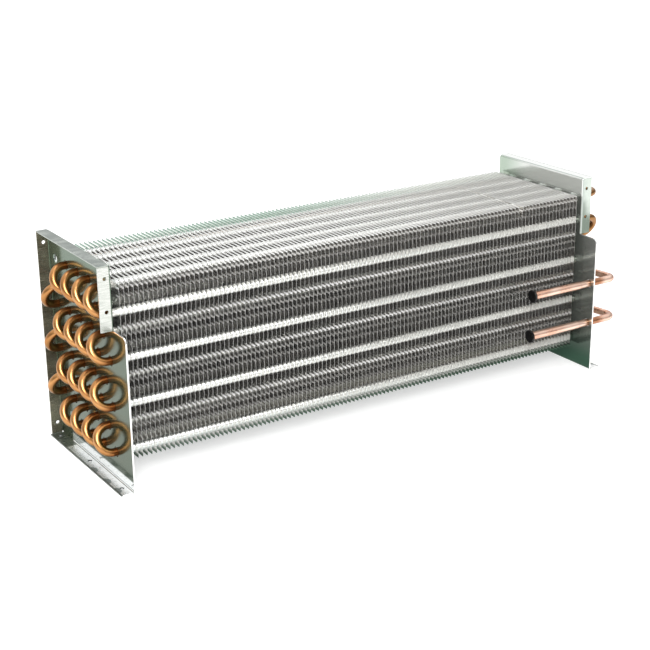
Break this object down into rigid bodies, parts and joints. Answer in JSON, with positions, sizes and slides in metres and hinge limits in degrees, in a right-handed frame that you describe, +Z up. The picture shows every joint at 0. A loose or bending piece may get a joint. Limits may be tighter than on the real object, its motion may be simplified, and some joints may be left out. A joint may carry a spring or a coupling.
{
  "type": "evaporator coil",
  "caption": "Finned-tube cooling coil: thin aluminium fins on staggered copper tubes joined by end bends, between two flanged sheet end plates with feet and plugged pipe stubs.",
  "frame": {"origin": "middle of the foot bolt pattern, on the surface that the feet stand on", "axes": "+X along the tubes, towards the end with the pipe stubs; +Y from the nose of the end plates to their back; +Z up"},
  "size_m": [0.7577, 0.204, 0.259],
  "materials": {
    "plated_steel": "zinc-plated sheet, satin",
    "copper": "drawn copper, aged and shiny",
    "stub_copper": "drawn copper, bright",
    "cap_rubber": "black, matt",
    "fin_aluminium": "rippled thin sheet, bright"
  },
  "bodies": {
    "root": {"end_plate_left": "plated_steel", "end_plate_right": "plated_steel", "hairpin_01": "copper", "hairpin_02": "copper", "hairpin_03": "copper", "hairpin_04": "copper", "hairpin_05": "copper", "hairpin_06": "copper", "hairpin_07": "copper", "hairpin_08": "copper", "hairpin_09": "copper", "hairpin_10": "copper", "hairpin_11": "copper", "hairpin_12": "copper", "hairpin_13": "copper", "hairpin_14": "copper", "hairpin_15": "copper", "hairpin_16": "copper", "hairpin_17": "copper", "hairpin_18": "copper", "hairpin_19": "copper", "return_bend_01": "copper", "return_bend_02": "copper", "return_bend_03": "copper", "return_bend_04": "copper", "return_bend_05": "copper", "return_bend_06": "copper", "return_bend_07": "copper", "return_bend_08": "copper", "return_bend_09": "copper", "return_bend_10": "copper", "return_bend_11": "copper", "return_bend_12": "copper", "return_bend_13": "copper", "return_bend_14": "copper", "return_bend_15": "copper", "return_bend_16": "copper", "return_bend_17": "copper", "return_bend_18": "copper", "stub_pipe_upper": "stub_copper", "stub_pipe_lower": "stub_copper", "stub_cap_upper": "cap_rubber", "stub_cap_lower": "cap_rubber", "fins": "fin_aluminium"}
  },
  "joints": []
}
